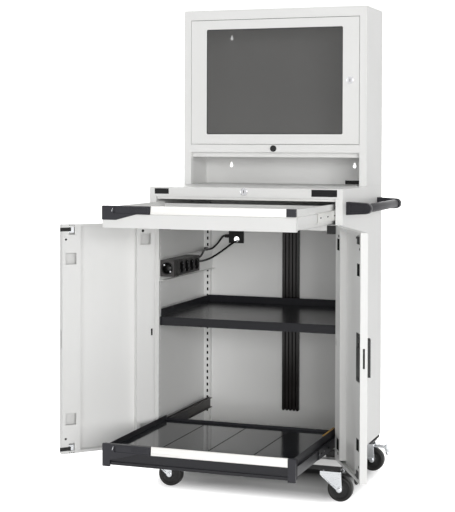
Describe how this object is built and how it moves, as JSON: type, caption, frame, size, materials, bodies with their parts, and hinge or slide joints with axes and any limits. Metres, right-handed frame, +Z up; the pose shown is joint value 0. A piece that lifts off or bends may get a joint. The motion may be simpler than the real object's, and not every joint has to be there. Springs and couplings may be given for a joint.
{
  "type": "computer cabinet",
  "caption": "Light grey sheet-steel workshop cabinet on castors: monitor housing with glass door, keyboard drawer, and a lower compartment behind double doors.",
  "frame": {"origin": "on the floor, under the middle of the lower carcass", "axes": "+Z up, +Y towards the back panel, +X to the right seen from the front"},
  "size_m": [1.0148, 1.0561, 1.58],
  "materials": {
    "body_paint": "satin light grey powder coat, fine texture",
    "dark_paint": "satin anthracite powder coat",
    "zinc": "bright zinc plated",
    "bright": "polished",
    "alu": "anodised, fine brushed",
    "cap": "dark blue-grey moulded plastic",
    "black": "black moulded plastic",
    "cord": "black flexible sheath",
    "tread": "black rubber tread on a black plastic hub",
    "mat": "grey ribbed mat",
    "smoked": "clear glass, lightly smoked"
  },
  "bodies": {
    "cabinet": {"side_panels": "body_paint", "back_panel": "body_paint", "floor_pan": "body_paint", "worktop": "body_paint", "front_rails": "body_paint", "rear_uprights": "body_paint", "housing_shell": "body_paint", "housing_back": "body_paint", "crossbar": "body_paint", "cable_fittings": "black", "label_plates": "black", "hinge_blocks": "black", "hinge_pins": "zinc", "cable_duct": "black", "power_bracket": "body_paint", "power_strip": "black", "mains_lead": "cord", "lead_coil": "cord", "mains_plug": "black", "link_lead": "cord", "shelf": "dark_paint", "shelf_clips": "zinc", "handle_brackets": "cap", "handle_tube": "cap", "fixed_runners": "zinc", "castor_mounts": "black"},
    "left_door": {"left_door_skin": "body_paint", "left_door_frame": "body_paint", "left_door_hooks": "black"},
    "right_door": {"right_door_skin": "body_paint", "right_door_frame": "body_paint", "lock_case": "black"},
    "handle": {"door_handle": "black"},
    "top_rod": {"rod_top": "zinc"},
    "bottom_rod": {"rod_bottom": "zinc"},
    "monitor_door": {"monitor_door_frame": "body_paint", "monitor_glass": "smoked"},
    "monitor_cam": {"monitor_lock": "bright"},
    "fascia_cam": {"fascia_lock": "bright"},
    "keyboard_drawer": {"keyboard_tray": "body_paint", "keyboard_strip": "alu", "keyboard_caps": "cap"},
    "keyboard_catch": {"keyboard_latch": "cap"},
    "keyboard_runner": {"keyboard_middle": "zinc"},
    "pullout": {"pullout_tray": "dark_paint", "pullout_strip": "alu", "pullout_caps": "cap", "pullout_mat": "mat"},
    "pullout_catch": {"pullout_latch": "cap"},
    "pullout_runner": {"pullout_middle": "zinc"},
    "swivel_front_left": {"fork_front_left": "zinc"},
    "roller_front_left": {"wheel_front_left": "tread"},
    "swivel_front_right": {"fork_front_right": "zinc"},
    "roller_front_right": {"wheel_front_right": "tread"},
    "swivel_rear_left": {"fork_rear_left": "zinc"},
    "roller_rear_left": {"wheel_rear_left": "tread"},
    "swivel_rear_right": {"fork_rear_right": "zinc"},
    "roller_rear_right": {"wheel_rear_right": "tread"},
    "pedal_front_right": {"brake_front_right": "zinc"},
    "pedal_rear_right": {"brake_rear_right": "zinc"}
  },
  "joints": [
    {"name": "left_door_hinge", "type": "hinge", "parent": "cabinet", "child": "left_door", "pos_m": [-0.3195, -0.257, 0.501], "axis": [0, 0, -1], "range_deg": [-40, 3]},
    {"name": "right_door_hinge", "type": "hinge", "parent": "cabinet", "child": "right_door", "pos_m": [0.3195, -0.257, 0.501], "axis": [0, 0, 1], "range_deg": [-26, 17]},
    {"name": "monitor_door_hinge", "type": "hinge", "parent": "cabinet", "child": "monitor_door", "pos_m": [-0.2955, 0.0455, 1.332], "axis": [0, 0, -1], "range_deg": [0, 110]},
    {"name": "monitor_lock_turn", "type": "hinge", "parent": "monitor_door", "child": "monitor_cam", "pos_m": [0.2675, 0.0425, 1.333], "axis": [0, 1, 0], "range_deg": [0, 90]},
    {"name": "fascia_lock_turn", "type": "hinge", "parent": "cabinet", "child": "fascia_cam", "pos_m": [0, -0.2625, 0.9675], "axis": [0, 1, 0], "range_deg": [0, 90]},
    {"name": "keyboard_slide", "type": "slide", "parent": "cabinet", "child": "keyboard_drawer", "axis": [0, 1, 0], "range_m": [0, 0.418]},
    {"name": "keyboard_runner_slide", "type": "slide", "parent": "cabinet", "child": "keyboard_runner", "axis": [0, 1, 0], "range_m": [0, 0.209]},
    {"name": "pullout_slide", "type": "slide", "parent": "cabinet", "child": "pullout", "axis": [0, 1, 0], "range_m": [0, 0.445]},
    {"name": "pullout_runner_slide", "type": "slide", "parent": "cabinet", "child": "pullout_runner", "axis": [0, 1, 0], "range_m": [0, 0.2225]},
    {"name": "keyboard_latch_slide", "type": "slide", "parent": "keyboard_drawer", "child": "keyboard_catch", "axis": [-1, 0, 0], "range_m": [0, 0.0067], "stiffness_N_per_m": 150, "springref_m": -0.01},
    {"name": "pullout_latch_slide", "type": "slide", "parent": "pullout", "child": "pullout_catch", "axis": [-1, 0, 0], "range_m": [0, 0.0067], "stiffness_N_per_m": 150, "springref_m": -0.01},
    {"name": "door_handle_turn", "type": "hinge", "parent": "right_door", "child": "handle", "pos_m": [0.46332, -0.51577, 0.538], "axis": [0.8829, 0.4695, 0], "range_deg": [0, 90]},
    {"name": "rod_top_slide", "type": "slide", "parent": "right_door", "child": "top_rod", "axis": [0, 0, 1], "range_m": [0, 0.0055]},
    {"name": "rod_bottom_slide", "type": "slide", "parent": "right_door", "child": "bottom_rod", "axis": [0, 0, -1], "range_m": [0, 0.0055]},
    {"name": "swivel_turn_front_left", "type": "hinge", "parent": "cabinet", "child": "swivel_front_left", "pos_m": [-0.2865, -0.2325, 0.092], "axis": [0, 0, 1], "continuous": true},
    {"name": "wheel_turn_front_left", "type": "hinge", "parent": "swivel_front_left", "child": "roller_front_left", "pos_m": [-0.2585, -0.2325, 0.04], "axis": [0, 1, 0], "continuous": true},
    {"name": "swivel_turn_front_right", "type": "hinge", "parent": "cabinet", "child": "swivel_front_right", "pos_m": [0.2865, -0.2325, 0.092], "axis": [0, 0, 1], "continuous": true},
    {"name": "wheel_turn_front_right", "type": "hinge", "parent": "swivel_front_right", "child": "roller_front_right", "pos_m": [0.3145, -0.2325, 0.04], "axis": [0, 1, 0], "continuous": true},
    {"name": "swivel_turn_rear_left", "type": "hinge", "parent": "cabinet", "child": "swivel_rear_left", "pos_m": [-0.2865, 0.1955, 0.092], "axis": [0, 0, 1], "continuous": true},
    {"name": "wheel_turn_rear_left", "type": "hinge", "parent": "swivel_rear_left", "child": "roller_rear_left", "pos_m": [-0.2585, 0.1955, 0.04], "axis": [0, 1, 0], "continuous": true},
    {"name": "swivel_turn_rear_right", "type": "hinge", "parent": "cabinet", "child": "swivel_rear_right", "pos_m": [0.2865, 0.1955, 0.092], "axis": [0, 0, 1], "continuous": true},
    {"name": "wheel_turn_rear_right", "type": "hinge", "parent": "swivel_rear_right", "child": "roller_rear_right", "pos_m": [0.3145, 0.1955, 0.04], "axis": [0, 1, 0], "continuous": true},
    {"name": "brake_turn_front_right", "type": "hinge", "parent": "swivel_front_right", "child": "pedal_front_right", "pos_m": [0.3175, -0.2325, 0.087], "axis": [0, 1, 0], "range_deg": [0, 12]},
    {"name": "brake_turn_rear_right", "type": "hinge", "parent": "swivel_rear_right", "child": "pedal_rear_right", "pos_m": [0.3175, 0.1955, 0.087], "axis": [0, 1, 0], "range_deg": [0, 12]}
  ],
  "couplings": [
    {"joint": "keyboard_runner_slide", "follows": "keyboard_slide", "ratio": 0.5},
    {"joint": "pullout_runner_slide", "follows": "pullout_slide", "ratio": 0.5},
    {"joint": "door_handle_turn", "follows": "rod_top_slide", "rad_per_m": 285},
    {"joint": "rod_bottom_slide", "follows": "rod_top_slide", "ratio": 1}
  ]
}
